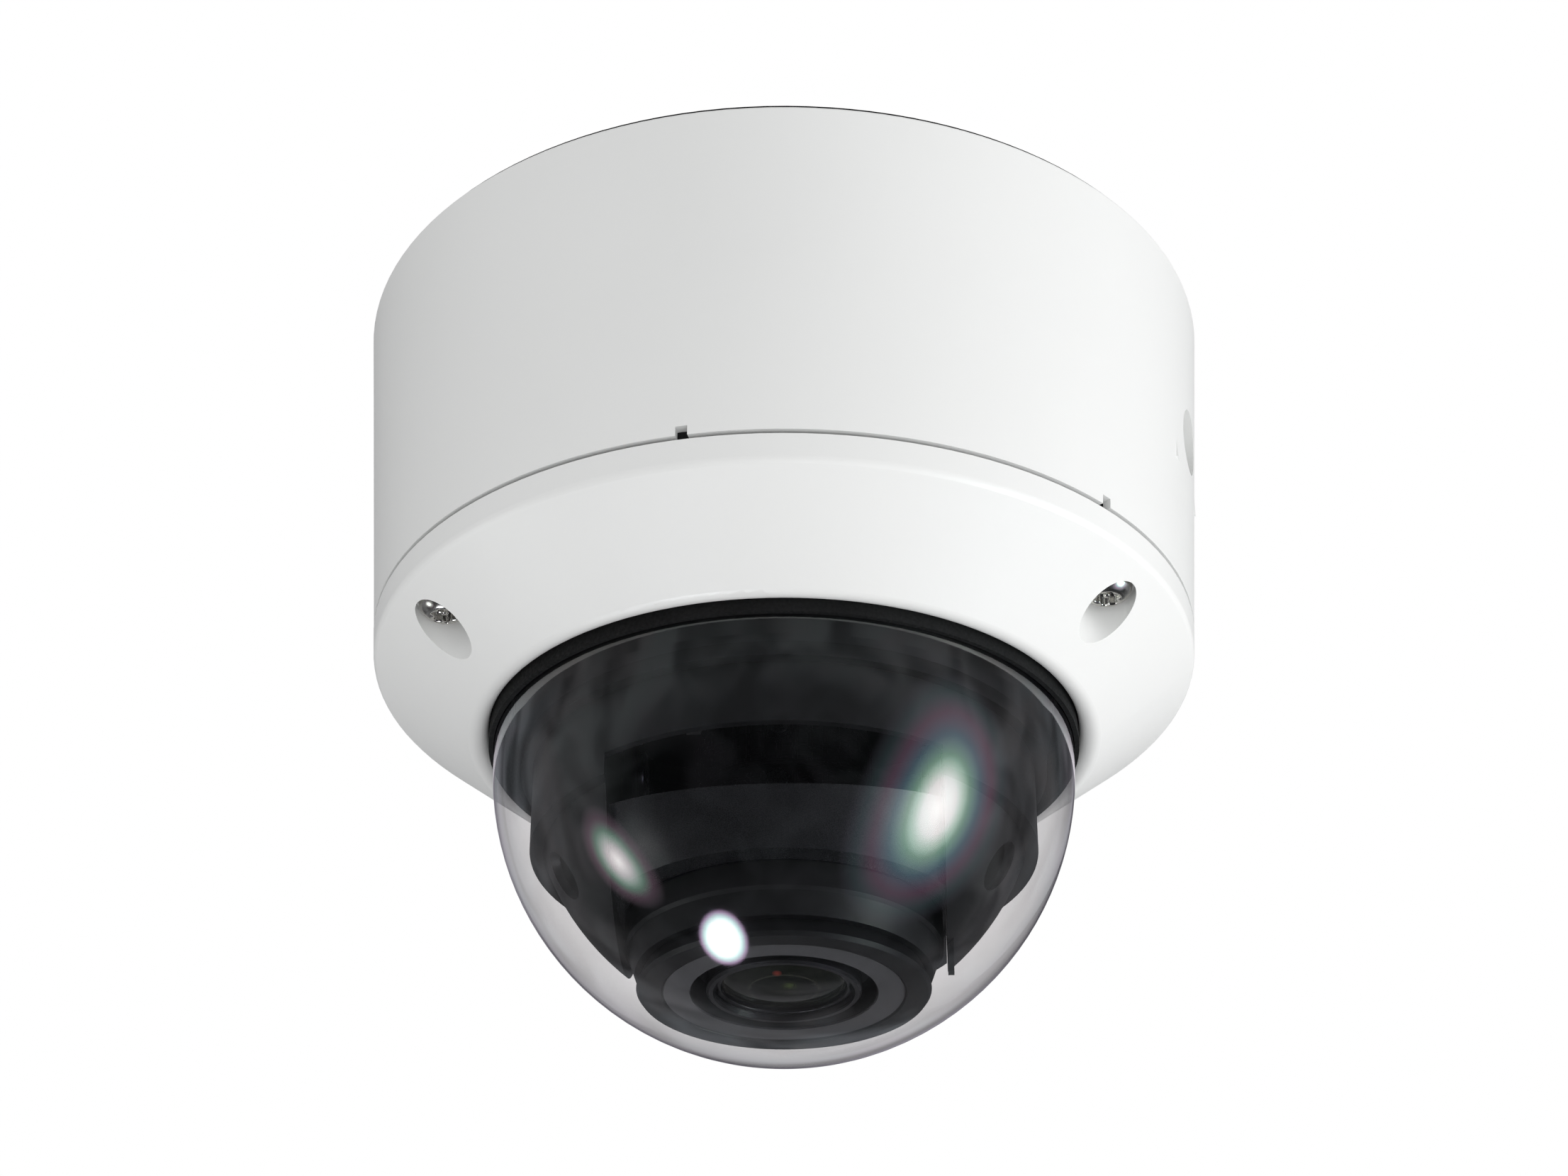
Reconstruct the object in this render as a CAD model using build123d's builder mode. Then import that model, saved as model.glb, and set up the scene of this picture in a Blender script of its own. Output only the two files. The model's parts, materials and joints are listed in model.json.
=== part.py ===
"""Dome CCTV camera: die-cast ceiling base, clear bubble and a pan, tilt and roll lens module inside.

Millimetres.  The origin is the centre of the face that meets the ceiling.  +Z points up into the
ceiling, the camera hangs towards -Z, and the lens tilts towards +Y.  Bearings are ordinary polar
angles, counted from +X towards +Y.
"""

from build123d import *
from math import cos, radians, sin, sqrt
import os

os.makedirs("parts", exist_ok=True)

# ---------------------------------------------------------------- driving dimensions
# Die-cast base
BASE_TOP_R = 73.95          # outer radius at the ceiling
BASE_BOTTOM_R = 70.0        # outer radius at the parting line
PARTING_Z = -60.05          # lower edge of the base
RIM_Z = -0.6                # upper edge of the base, just off the ceiling
BACK_WALL_TOP = -7.0
BACK_WALL_BOTTOM = -10.0
REVEAL = 0.8                # dark gap between base and cover

# Cover, screwed on from below
COVER_TOP_Z = PARTING_Z - REVEAL
COVER_CORNER = (69.7, -65.4)
COVER_MOUTH_R = 49.7
COVER_MOUTH_Z = -72.6       # inner shelf that the bubble rests on
COVER_TIP_Z = -81.4         # where the cone would meet the mouth before it is rounded
COVER_LIP_ROUND = 2.2
COVER_SCREW_CIRCLE = 62.0
COVER_SCREW_BEARING = -30.0
COVER_BOSS_R = 6.2
COVER_SCREW_SEAT_Z = -66.3

# Bubble
DOME_Z = -83.8              # height of the bubble's centre, which is also the tilt axis
DOME_OUTER_R = 48.7
DOME_WALL = 2.0
DOME_FLANGE_R = 53.4
DOME_FLANGE_Z = (-72.0, -70.0)
RING_SCREW_CIRCLE = 56.4

# Mounting plate
PLATE_R = 70.4
PLATE_THICKNESS = 2.0
CEILING_HOLE_R = 2.5
CEILING_HOLE_CIRCLE = 50.0
LOCK_BEARING = -12.0
LOCK_Z = -29.3
LOCK_BORE_R = 5.7
LOCK_SEAT_R = 68.4          # distance of the side screw's seat from the axis
HOOK_BEARINGS = (128.0, 248.0)
CABLE_Y = 38.0
CABLE_R = 3.0

# Posts inside the base
POST_CIRCLE = 58.0
POST_BEARING = -90.0
POST_R = 4.2
POST_END_Z = -55.6

# Main board
BOARD_TOP = -18.0
BOARD_THICKNESS = 1.6
BOARD_BOTTOM = BOARD_TOP - BOARD_THICKNESS
BOARD_R = 50.0
BOARD_FLAT_Y = 29.0
BOARD_HOLES = [(-32, -26), (32, -26), (-32, 20), (32, 20)]

# Pan bearing
PAN_RING_INNER_R = 43.5
PAN_RING_OUTER_R = 49.6
PAN_RING_Z = (-62.0, -58.0)
PAN_BASE_R = 54.0
PAN_BASE_Z = -57.6          # underside of its flange
PAN_DECK_R = 46.0
PAN_DECK_Z = -47.0          # underside of the deck above the gimbal
PAN_SCREW_CIRCLE = 52.0
RETAINER_TOP_Z = -62.4
RETAINER_THICKNESS = 1.2

# Liner with its slot, and the arms beside the slot
SLOT_HALF = 26.6
LINER_WALL = 1.4
LINER_TOP_Z = -70.0
LINER_COLLAR_TOP_R = 45.3
LINER_COLLAR_R = 44.0
LINER_COLLAR_Z = -85.0      # where the collar steps in to the band
LINER_BAND_R = 42.0
LINER_SPHERE_R = 42.6
LINER_STEP_Z = -99.2
HOOP_Z = -95.5              # lower edge of the band across the near side of the slot
ARM_INNER_X = 28.6
ARM_THICKNESS = 2.4
PIVOT_R = 3.0
RUNNING_GAP = 0.06
LOCK_HOLE_Y = -8.8
LOCK_HOLE_Z = -105.5

# Tilting drum and the lens housing that rolls in it
DRUM_R = 41.5
DRUM_WALL = 1.8
DRUM_HALF = 26.5
DRUM_LIP_Z = -103.6
FRAME_X = 24.2              # inner faces of the tilt frame's two sides
FRAME_FOOT_Z = -110.8
ROLL_R = 23.3
COLLAR_R = 26.0
HOUSING_FOOT_Z = -120.2
CAP_R = 23.9
CAP_FRONT_Z = -123.4
CAP_SEAT_Z = -122.9         # recess in the cap's face that holds the shade ring
CAP_MOUTH_R = 15.1

# Varifocal lens
BARREL_R = 11.5
BARREL_HEAD_R = 12.6        # wider ring around the front element
BARREL_FRONT_Z = -123.2
BRACKET_Z = -104.6
GLASS_R = 10.6
RING_BORE_R = 12.0
RING_R = 14.8
FLANGE_R = 14.2
FOCUS_Z = (-97.8, -90.1)
ZOOM_Z = (-87.9, -80.2)
LEVER_TIP_R = 19.5
POST_POINTS = [(-11.7, 13.9), (11.7, 13.9)]

LOW = (Align.CENTER, Align.CENTER, Align.MIN)
HIGH = (Align.CENTER, Align.CENTER, Align.MAX)


# ---------------------------------------------------------------- shared shapes
def save(piece, name):
    """Label a finished piece and write it as its own STEP file."""
    piece.part.label = name
    export_step(piece.part, f"parts/{name}.step")


def turned(outline):
    """Solid of revolution about Z from a closed outline of (radius, height) points."""
    with BuildPart() as piece:
        with BuildSketch(Plane.XZ):
            with BuildLine():
                Polyline(*outline, close=True)
            make_face()
        revolve(axis=Axis.Z)
    return piece


def tube(inner_r, outer_r, low_z, high_z):
    """Plain ring between two radii and two heights."""
    return turned([(inner_r, low_z), (outer_r, low_z), (outer_r, high_z), (inner_r, high_z)])


def radius_on_sphere(sphere_r, z):
    """Radius of the circle that a sphere about the dome's centre has at height z."""
    return sqrt(sphere_r**2 - (z - DOME_Z) ** 2)


def point_on_sphere(sphere_r, z):
    """(radius, height) of a point on a sphere about the dome's centre."""
    return (radius_on_sphere(sphere_r, z), z)


def radial_plane(bearing, radius, z):
    """Plane whose normal points outwards along a bearing, with local y upwards."""
    out = Vector(cos(radians(bearing)), sin(radians(bearing)), 0)
    across = Vector(-sin(radians(bearing)), cos(radians(bearing)), 0)
    return Plane(origin=out * radius + Vector(0, 0, z), x_dir=across, z_dir=out)


def hanging_plane(x, y, z):
    """Plane facing down: screws driven upwards stand on it."""
    return Plane(origin=(x, y, z), x_dir=(1, 0, 0), z_dir=(0, 0, -1))


def polar_point(radius, bearing):
    return (radius * cos(radians(bearing)), radius * sin(radians(bearing)))


def screw(plane, head_r, head_height, shank_r, shank_length, drive_r, pin_r=0.0):
    """Button-head screw.  The head stands on the plane, the shank goes the other way."""
    with BuildPart(plane) as piece:
        with BuildSketch(plane):
            Circle(head_r)
        extrude(amount=head_height)
        fillet(piece.faces().sort_by(Axis(plane.origin, plane.z_dir))[-1].edges(), head_height * 0.6)
        with BuildSketch(plane):
            Circle(shank_r)
        extrude(amount=-shank_length)
        with BuildSketch(plane.offset(head_height)):
            Circle(drive_r)
            if pin_r:
                Circle(pin_r, mode=Mode.SUBTRACT)
        extrude(amount=-head_height * 0.55, mode=Mode.SUBTRACT)
    return piece


def screw_set(planes, *sizes):
    """Identical screws on several planes, as one piece of hardware."""
    with BuildPart() as pieces:
        for plane in planes:
            add(screw(plane, *sizes).part)
    return pieces


# ---------------------------------------------------------------- mounting hardware
def mount_plate():
    leg_centre_r = 62.0
    leg_thickness = 2.0
    with BuildPart() as piece:
        Cylinder(PLATE_R, PLATE_THICKNESS, align=HIGH)
        with PolarLocations(CEILING_HOLE_CIRCLE, 4, start_angle=45):
            Hole(CEILING_HOLE_R)
        with Locations((0, CABLE_Y)):
            Hole(14)
        with PolarLocations(30, 6, start_angle=30):
            Hole(5)
        # The threaded leg that the side screw pulls against
        with BuildSketch(radial_plane(LOCK_BEARING, leg_centre_r, 0)):
            with Locations((0, -17.0)):
                Rectangle(14, 34)
        extrude(amount=leg_thickness / 2, both=True)
        with BuildSketch(radial_plane(LOCK_BEARING, leg_centre_r, LOCK_Z)):
            Circle(1.7)
        extrude(amount=leg_thickness, both=True, mode=Mode.SUBTRACT)
        # Two hooks that hang the base on the plate
        for bearing in HOOK_BEARINGS:
            with BuildSketch(radial_plane(bearing, leg_centre_r, 0)):
                with Locations((0, -6.5)):
                    Rectangle(10, 13)
            extrude(amount=leg_thickness / 2, both=True)
            with BuildSketch(radial_plane(bearing, leg_centre_r, 0)):
                with Locations((0, -12.0)):
                    Rectangle(10, 2)
            extrude(amount=3.5)
    return piece


def base_housing():
    with BuildPart() as piece:
        with BuildSketch(Plane.XZ):
            with BuildLine():
                Polyline(
                    (0, BACK_WALL_TOP),
                    (70.8, BACK_WALL_TOP),
                    (70.8, RIM_Z),
                    (BASE_TOP_R, RIM_Z),
                    (BASE_BOTTOM_R, PARTING_Z),
                    (64.0, PARTING_Z),
                    (64.0, -56.5),
                    (67.9, -53.0),
                    (70.8, BACK_WALL_BOTTOM),
                    (0, BACK_WALL_BOTTOM),
                    close=True,
                )
            make_face()
        revolve(axis=Axis.Z)
        # Posts that carry the pan bearing
        with BuildSketch(Plane.XY.offset(POST_END_Z)):
            with PolarLocations(POST_CIRCLE, 3, start_angle=POST_BEARING):
                Circle(POST_R)
        extrude(amount=BACK_WALL_BOTTOM - POST_END_Z)
        # Bosses for the cover screws, merged with the wall
        with BuildSketch(Plane.XY.offset(PARTING_Z)):
            with PolarLocations(COVER_SCREW_CIRCLE, 3, start_angle=COVER_SCREW_BEARING):
                Circle(5.5)
        extrude(amount=18)
        # Groove for the seal
        with BuildSketch(Plane.XY.offset(PARTING_Z)):
            Circle(68.6)
            Circle(65.4, mode=Mode.SUBTRACT)
        extrude(amount=1.5, mode=Mode.SUBTRACT)
        # Tapped holes in the posts and bosses
        with BuildSketch(Plane.XY.offset(POST_END_Z)):
            with PolarLocations(POST_CIRCLE, 3, start_angle=POST_BEARING):
                Circle(1.3)
        extrude(amount=9, mode=Mode.SUBTRACT)
        with BuildSketch(Plane.XY.offset(PARTING_Z)):
            with PolarLocations(COVER_SCREW_CIRCLE, 3, start_angle=COVER_SCREW_BEARING):
                Circle(2.0)
        extrude(amount=14, mode=Mode.SUBTRACT)
        # Pocket that the plate's threaded leg drops into
        with BuildSketch(radial_plane(LOCK_BEARING, 58.0, 0)):
            with Locations((0, -22.5)):
                Rectangle(20, 31)
        extrude(amount=13)
        with BuildSketch(radial_plane(LOCK_BEARING, 59.5, 0)):
            with Locations((0, -21.2)):
                Rectangle(16.5, 29)
        extrude(amount=7.5, mode=Mode.SUBTRACT)
        # Counterbore and hole for the side lock screw
        with BuildSketch(radial_plane(LOCK_BEARING, LOCK_SEAT_R, LOCK_Z)):
            Circle(LOCK_BORE_R)
        extrude(amount=6, mode=Mode.SUBTRACT)
        with BuildSketch(radial_plane(LOCK_BEARING, 66.0, LOCK_Z)):
            Circle(2.3)
        extrude(amount=6, mode=Mode.SUBTRACT)
        # Slots for the two hooks
        for bearing in HOOK_BEARINGS:
            with BuildSketch(radial_plane(bearing, 60.6, 0)):
                with Locations((0, -8.5)):
                    Rectangle(11, 4)
            extrude(amount=6, mode=Mode.SUBTRACT)
        # Hole for the cable grommet
        with BuildSketch(Plane.XY.offset(BACK_WALL_BOTTOM)):
            with Locations((0, CABLE_Y)):
                Circle(8.0)
        extrude(amount=BACK_WALL_TOP - BACK_WALL_BOTTOM, mode=Mode.SUBTRACT)
        # Prying notches in the lower edge
        for bearing in (-100.0, -40.0, 80.0, 140.0):
            with BuildSketch(radial_plane(bearing, 68.4, PARTING_Z)):
                with Locations((0, 0.8)):
                    Rectangle(1.9, 1.6)
            extrude(amount=3, mode=Mode.SUBTRACT)
        fillet(piece.edges().filter_by(GeomType.CIRCLE).filter_by(
            lambda edge: abs(edge.radius - BASE_TOP_R) < 0.01), 0.5)
    return piece


def lock_screw():
    return screw(radial_plane(LOCK_BEARING, LOCK_SEAT_R, LOCK_Z), 4.1, 2.2, 1.65, 8.7, 1.7, 0.5)


def cable_grommet():
    with BuildPart(Plane((0, CABLE_Y, 0))) as piece:
        with BuildSketch(Plane((0, CABLE_Y, -12.0))):
            Circle(10.5)
        extrude(amount=2)
        with BuildSketch(Plane((0, CABLE_Y, BACK_WALL_BOTTOM))):
            Circle(8.0)
        extrude(amount=3)
        with BuildSketch(Plane((0, CABLE_Y, BACK_WALL_TOP))):
            Circle(10.5)
        extrude(amount=2)
        with BuildSketch(Plane((0, CABLE_Y, -12.0))):
            Circle(CABLE_R)
        extrude(amount=7, mode=Mode.SUBTRACT)
    return piece


# ---------------------------------------------------------------- cover and bubble
def cover_cavity():
    """Space inside the cover, with the screw bosses left standing."""
    with BuildPart() as piece:
        with BuildSketch(Plane.XZ):
            with BuildLine():
                Polyline(
                    (COVER_MOUTH_R - 1, COVER_MOUTH_Z),
                    (56.6, COVER_MOUTH_Z),
                    (65.0, -66.0),
                    (65.0, COVER_TOP_Z),
                    (COVER_MOUTH_R - 1, COVER_TOP_Z),
                    close=True,
                )
            make_face()
        revolve(axis=Axis.Z)
        with BuildSketch(Plane.XY.offset(COVER_MOUTH_Z)):
            with PolarLocations(COVER_SCREW_CIRCLE, 3, start_angle=COVER_SCREW_BEARING):
                Circle(COVER_BOSS_R)
        extrude(amount=COVER_TOP_Z - COVER_MOUTH_Z, mode=Mode.SUBTRACT)
        with BuildSketch(Plane.XY.offset(COVER_MOUTH_Z)):
            with PolarLocations(RING_SCREW_CIRCLE, 3, start_angle=POST_BEARING):
                Circle(2.6)
        extrude(amount=DOME_FLANGE_Z[1] - COVER_MOUTH_Z, mode=Mode.SUBTRACT)
    return piece


def top_cover(cavity):
    with BuildPart() as piece:
        with BuildSketch(Plane.XZ) as section:
            with BuildLine():
                Polyline(
                    (COVER_MOUTH_R, COVER_TOP_Z),
                    (BASE_BOTTOM_R, COVER_TOP_Z),
                    COVER_CORNER,
                    (COVER_MOUTH_R, COVER_TIP_Z),
                    close=True,
                )
            make_face()
            fillet(section.vertices().sort_by(Axis.Y)[0], COVER_LIP_ROUND)
            fillet(section.vertices().sort_by(Axis.X)[-2], 1.5)
        revolve(axis=Axis.Z)
        add(cavity.part, mode=Mode.SUBTRACT)
        # Counterbores rise into the cone, then clearance holes
        with BuildSketch(Plane.XY.offset(COVER_SCREW_SEAT_Z)):
            with PolarLocations(COVER_SCREW_CIRCLE, 3, start_angle=COVER_SCREW_BEARING):
                Circle(4.75)
        extrude(amount=-14, mode=Mode.SUBTRACT)
        with BuildSketch(Plane.XY.offset(COVER_TOP_Z)):
            with PolarLocations(COVER_SCREW_CIRCLE, 3, start_angle=COVER_SCREW_BEARING):
                Circle(2.3)
        extrude(amount=-7, mode=Mode.SUBTRACT)
        # Blind holes for the bubble ring's screws
        with BuildSketch(Plane.XY.offset(DOME_FLANGE_Z[1])):
            with PolarLocations(RING_SCREW_CIRCLE, 3, start_angle=POST_BEARING):
                Circle(1.1)
        extrude(amount=-4, mode=Mode.SUBTRACT)
    return piece


def cover_screws():
    bearings = [COVER_SCREW_BEARING + 120 * i for i in range(3)]
    planes = [hanging_plane(*polar_point(COVER_SCREW_CIRCLE, b), COVER_SCREW_SEAT_Z) for b in bearings]
    return screw_set(planes, 4.25, 2.8, 1.95, 17, 1.9, 0.55)


def dome_bubble():
    inner_r = DOME_OUTER_R - DOME_WALL
    with BuildPart() as piece:
        with BuildSketch(Plane.XZ):
            with BuildLine():
                outer = CenterArc((0, DOME_Z), DOME_OUTER_R, -90, 90)
                inner = CenterArc((0, DOME_Z), inner_r, -90, 90)
                Line(outer @ 0, inner @ 0)
                Polyline(
                    outer @ 1,
                    (DOME_OUTER_R, DOME_FLANGE_Z[0]),
                    (DOME_FLANGE_R, DOME_FLANGE_Z[0]),
                    (DOME_FLANGE_R, DOME_FLANGE_Z[1]),
                    (inner_r, DOME_FLANGE_Z[1]),
                    inner @ 1,
                )
            make_face()
        revolve(axis=Axis.Z)
    return piece


def dome_gasket():
    inner_r = DOME_OUTER_R + 0.1
    skirt_r = COVER_MOUTH_R - 0.1
    skirt_z = -80.4
    return turned([
        (inner_r, skirt_z),
        (skirt_r, skirt_z),
        (skirt_r, COVER_MOUTH_Z),
        (DOME_FLANGE_R, COVER_MOUTH_Z),
        (DOME_FLANGE_R, DOME_FLANGE_Z[0]),
        (inner_r, DOME_FLANGE_Z[0]),
    ])


def dome_ring():
    with BuildPart() as piece:
        with BuildSketch(Plane.XY.offset(DOME_FLANGE_Z[1])):
            Circle(59.4)
            Circle(47.5, mode=Mode.SUBTRACT)
            with PolarLocations(RING_SCREW_CIRCLE, 3, start_angle=POST_BEARING):
                Circle(1.4, mode=Mode.SUBTRACT)
            with PolarLocations(COVER_SCREW_CIRCLE, 3, start_angle=COVER_SCREW_BEARING):
                Circle(COVER_BOSS_R + 0.4, mode=Mode.SUBTRACT)
        extrude(amount=1.8)
    return piece


def dome_ring_screws():
    bearings = [POST_BEARING + 120 * i for i in range(3)]
    planes = [Plane((*polar_point(RING_SCREW_CIRCLE, b), -68.2)) for b in bearings]
    return screw_set(planes, 2.2, 1.3, 1.1, 5.5, 0.9)


def upper_liner():
    return turned([
        (45.7, -72.8),
        (46.2, -72.8),
        (46.2, -68.2),
        (52.0, -68.2),
        (52.0, -67.2),
        (45.7, -67.2),
    ])


# ---------------------------------------------------------------- main board
def main_board():
    with BuildPart() as piece:
        with BuildSketch(Plane.XY.offset(BOARD_TOP)):
            Circle(BOARD_R)
            with Locations((0, BOARD_FLAT_Y)):
                Rectangle(2 * BOARD_R, BOARD_R, align=(Align.CENTER, Align.MIN), mode=Mode.SUBTRACT)
            with Locations(*BOARD_HOLES):
                Circle(1.6, mode=Mode.SUBTRACT)
        extrude(amount=-BOARD_THICKNESS)
    return piece


def board_standoffs():
    with BuildPart() as piece:
        with BuildSketch(Plane.XY.offset(BACK_WALL_BOTTOM)):
            with Locations(*BOARD_HOLES):
                RegularPolygon(3.2, 6)
                Circle(1.25, mode=Mode.SUBTRACT)
        extrude(amount=BOARD_TOP - BACK_WALL_BOTTOM)
    return piece


def board_screws():
    planes = [hanging_plane(x, y, BOARD_BOTTOM) for x, y in BOARD_HOLES]
    return screw_set(planes, 2.8, 1.6, 1.25, 6, 1.0)


def ethernet_jack():
    with BuildPart() as piece:
        with Locations((0, 18.5, BOARD_BOTTOM)):
            Box(16, 21, 13.4, align=HIGH)
        with Locations((0, BOARD_FLAT_Y, BOARD_BOTTOM - 3.0)):
            Box(12, 14, 8, align=(Align.CENTER, Align.MAX, Align.MAX), mode=Mode.SUBTRACT)
    return piece


def power_terminal():
    with BuildPart() as piece:
        with Locations((22, 24, BOARD_BOTTOM)):
            Box(10.2, 8, 10, align=HIGH)
        with BuildSketch(Plane((22, 28, -26.5), x_dir=(1, 0, 0), z_dir=(0, -1, 0))):
            with Locations((-2.55, 0), (2.55, 0)):
                Rectangle(3.4, 3.4)
        extrude(amount=6, mode=Mode.SUBTRACT)
    return piece


def processor():
    with BuildPart() as piece:
        with Locations((0, -18, BOARD_BOTTOM)):
            Box(20, 20, 1.6, align=HIGH)
    return piece


def thermal_pad():
    with BuildPart() as piece:
        with Locations((0, -18, -21.2)):
            Box(19, 19, 0.8, align=HIGH)
    return piece


def heat_sink():
    fin_count = 8
    with BuildPart() as piece:
        with Locations((0, -18, -22.0)):
            Box(28, 28, 2, align=HIGH)
        with Locations((0, -18, -24.0)):
            with GridLocations(3.8, 0, fin_count, 1):
                Box(1.2, 28, 7, align=HIGH)
    return piece


def card_slot():
    with BuildPart() as piece:
        with Locations((-28, -4, BOARD_BOTTOM)):
            Box(14, 15, 1.9, align=HIGH)
        with Locations((-28, -11.5, -20.1)):
            Box(11.2, 13, 0.9, align=(Align.CENTER, Align.MIN, Align.MAX), mode=Mode.SUBTRACT)
    return piece


def capacitors():
    with BuildPart() as piece:
        with BuildSketch(Plane.XY.offset(BOARD_BOTTOM)):
            with Locations((30, -10), (30, -1.5), (30, 7)):
                Circle(3.15)
        extrude(amount=-7.7)
    return piece


def flex_connector():
    with BuildPart() as piece:
        with Locations((0, -41, BOARD_BOTTOM)):
            Box(17, 4, 2.2, align=HIGH)
        with Locations((0, -43, -20.3)):
            Box(14, 3, 0.5, align=(Align.CENTER, Align.MIN, Align.MAX), mode=Mode.SUBTRACT)
    return piece


def reset_switch():
    with BuildPart(hanging_plane(-20, 24, BOARD_BOTTOM)) as piece:
        Box(6, 6, 3.4, align=LOW)
        Cylinder(1.8, 3.4, align=LOW, mode=Mode.SUBTRACT)
    return piece


def reset_button():
    with BuildPart(hanging_plane(-20, 24, -20.2)) as piece:
        Cylinder(1.7, 5.2, align=LOW)
        chamfer(piece.faces().sort_by(Axis.Z)[0].edges(), 0.3)
    return piece


# ---------------------------------------------------------------- pan bearing
def pan_base():
    """Flanged cup over the gimbal; its deck hides the electronics and lets the flex cable through."""
    flange = 2.0
    wall = 1.6
    skirt = 4.8
    with BuildPart() as piece:
        with BuildSketch(Plane.XY.offset(PAN_BASE_Z)):
            Circle(PAN_BASE_R)
            with PolarLocations(POST_CIRCLE, 3, start_angle=POST_BEARING):
                Circle(5.0)
            Circle(PAN_DECK_R - wall, mode=Mode.SUBTRACT)
            with PolarLocations(POST_CIRCLE, 3, start_angle=POST_BEARING):
                Circle(1.6, mode=Mode.SUBTRACT)
        extrude(amount=flange)
        with BuildSketch(Plane.XY.offset(PAN_BASE_Z)):
            Circle(PAN_DECK_R)
            Circle(PAN_DECK_R - wall, mode=Mode.SUBTRACT)
        extrude(amount=PAN_DECK_Z - PAN_BASE_Z)
        with BuildSketch(Plane.XY.offset(PAN_DECK_Z)):
            Circle(PAN_DECK_R)
            with Locations((0, -38)):
                SlotOverall(20, 5, mode=Mode.SUBTRACT)
        extrude(amount=wall)
        # Skirt around the pan ring
        with BuildSketch(Plane.XY.offset(PAN_BASE_Z - skirt)):
            Circle(PAN_BASE_R)
            Circle(50.0, mode=Mode.SUBTRACT)
            with PolarLocations(PAN_SCREW_CIRCLE, 3, start_angle=0):
                Circle(0.9, mode=Mode.SUBTRACT)
        extrude(amount=skirt)
    return piece


def pan_base_screws():
    bearings = [POST_BEARING + 120 * i for i in range(3)]
    planes = [hanging_plane(*polar_point(POST_CIRCLE, b), PAN_BASE_Z) for b in bearings]
    return screw_set(planes, 2.8, 1.7, 1.3, 9.5, 1.1)


def pan_retainer():
    with BuildPart() as piece:
        with BuildSketch(Plane.XY.offset(RETAINER_TOP_Z)):
            Circle(PAN_BASE_R)
            Circle(47.8, mode=Mode.SUBTRACT)
            with PolarLocations(PAN_SCREW_CIRCLE, 3, start_angle=0):
                Circle(1.1, mode=Mode.SUBTRACT)
        extrude(amount=-RETAINER_THICKNESS)
    return piece


def pan_retainer_screws():
    seat_z = RETAINER_TOP_Z - RETAINER_THICKNESS
    planes = [hanging_plane(*polar_point(PAN_SCREW_CIRCLE, b), seat_z) for b in (0, 120, 240)]
    return screw_set(planes, 1.8, 1.1, 0.9, 4.5, 0.7)


def pan_ring():
    with BuildPart() as piece:
        with BuildSketch(Plane.XY.offset(PAN_RING_Z[0])):
            Circle(PAN_RING_OUTER_R)
            Circle(PAN_RING_INNER_R, mode=Mode.SUBTRACT)
        extrude(amount=1.6)
        with BuildSketch(Plane.XY.offset(PAN_RING_Z[0])):
            Circle(47.0)
            Circle(PAN_RING_INNER_R, mode=Mode.SUBTRACT)
        extrude(amount=PAN_RING_Z[1] - PAN_RING_Z[0])
        # Grip teeth around the inside of the raised band
        with BuildSketch(Plane.XY.offset(PAN_RING_Z[1] - 1.2)):
            with PolarLocations(47.0, 72):
                Rectangle(0.8, 1.4)
        extrude(amount=1.2, mode=Mode.SUBTRACT)
        with BuildSketch(Plane.XY.offset(PAN_RING_Z[0])):
            with Locations(*[(x, y) for x in (-45, 45) for y in (-8, 8)]):
                Circle(1.0)
        extrude(amount=3, mode=Mode.SUBTRACT)
    return piece


def yoke_arm(side):
    """Upright arm beside the slot, screwed under the pan ring by its top flange."""
    face = Plane.YZ.offset(side * ARM_INNER_X)
    with BuildPart() as piece:
        with BuildSketch(face):
            with BuildLine():
                Polyline((-13, -62), (13, -62), (13, -104), (8, -109), (-8, -109), (-13, -104), close=True)
            make_face()
            with Locations((0, DOME_Z)):
                Circle(PIVOT_R + RUNNING_GAP, mode=Mode.SUBTRACT)
            with Locations((0, -71)):
                SlotOverall(14, 6, mode=Mode.SUBTRACT)
            with Locations((LOCK_HOLE_Y, LOCK_HOLE_Z)):
                Circle(1.5, mode=Mode.SUBTRACT)
        extrude(amount=side * ARM_THICKNESS)
        # Top flange, rounded to pass inside the retainer
        with BuildSketch(Plane.XY.offset(-64)):
            with Locations((side * 38, 0)):
                Rectangle(2 * (38 - ARM_INNER_X), 26)
            Circle(47.2, mode=Mode.INTERSECT)
            with Locations((side * 45, -8), (side * 45, 8)):
                Circle(1.2, mode=Mode.SUBTRACT)
        extrude(amount=2)
        # Stiffening rib between the flange and the arm
        with BuildSketch(Plane.XZ.offset(-1.0)):
            with BuildLine():
                arm_x = side * (ARM_INNER_X + ARM_THICKNESS)
                Polyline((arm_x, -64), (side * 35, -64), (arm_x, -67.4), close=True)
            make_face()
        extrude(amount=2)
    return piece


def yoke_screws():
    planes = [hanging_plane(x, y, -64) for x in (-45, 45) for y in (-8, 8)]
    return screw_set(planes, 1.7, 1.0, 1.0, 4.5, 0.7)


def liner_form(shrink, top_z):
    """Solid inside the liner's skin: a collar, a narrower band, then a sphere."""
    top_r = LINER_COLLAR_TOP_R - shrink
    collar_r = LINER_COLLAR_R - shrink
    collar_z = LINER_COLLAR_Z + shrink
    band_r = LINER_BAND_R - shrink
    sphere_r = LINER_SPHERE_R - shrink
    step_z = LINER_STEP_Z + shrink
    foot = (0, DOME_Z - sphere_r)
    with BuildPart() as piece:
        with BuildSketch(Plane.XZ):
            with BuildLine():
                start = point_on_sphere(sphere_r, step_z)
                Polyline(
                    (0, top_z),
                    (top_r, top_z),
                    (top_r, LINER_COLLAR_Z + 10.0),
                    (collar_r, LINER_COLLAR_Z + 2.5),
                    (collar_r, collar_z),
                    (band_r, collar_z),
                    (band_r, step_z),
                    start,
                )
                RadiusArc(start, foot, sphere_r)
                Line(foot, (0, top_z))
            make_face()
        revolve(axis=Axis.Z)
    return piece


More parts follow.
